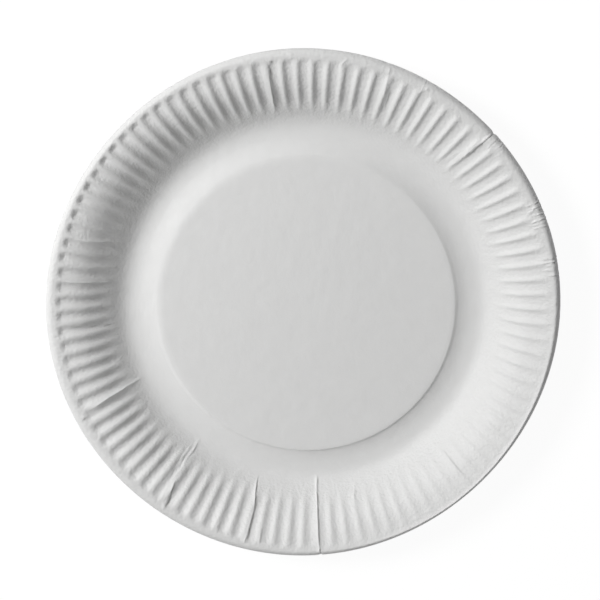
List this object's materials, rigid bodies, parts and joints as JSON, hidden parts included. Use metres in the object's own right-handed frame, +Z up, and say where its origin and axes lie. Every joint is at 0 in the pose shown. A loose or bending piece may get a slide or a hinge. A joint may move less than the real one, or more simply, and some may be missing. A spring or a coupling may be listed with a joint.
{
  "type": "paper plate",
  "caption": "Round white disposable plate pressed from coated board, with a raised flat centre, a shallow trough, a fluted wall and a rolled-down lip.",
  "frame": {"origin": "centre of the ring the plate stands on, at table level", "axes": "+Z up through the open dish; the plate is round, so X and Y are free, +Y being up in the picture"},
  "size_m": [0.23, 0.23, 0.02],
  "materials": {
    "board": "matt white coated board"
  },
  "bodies": {
    "root": {"plate": "board"}
  },
  "joints": []
}
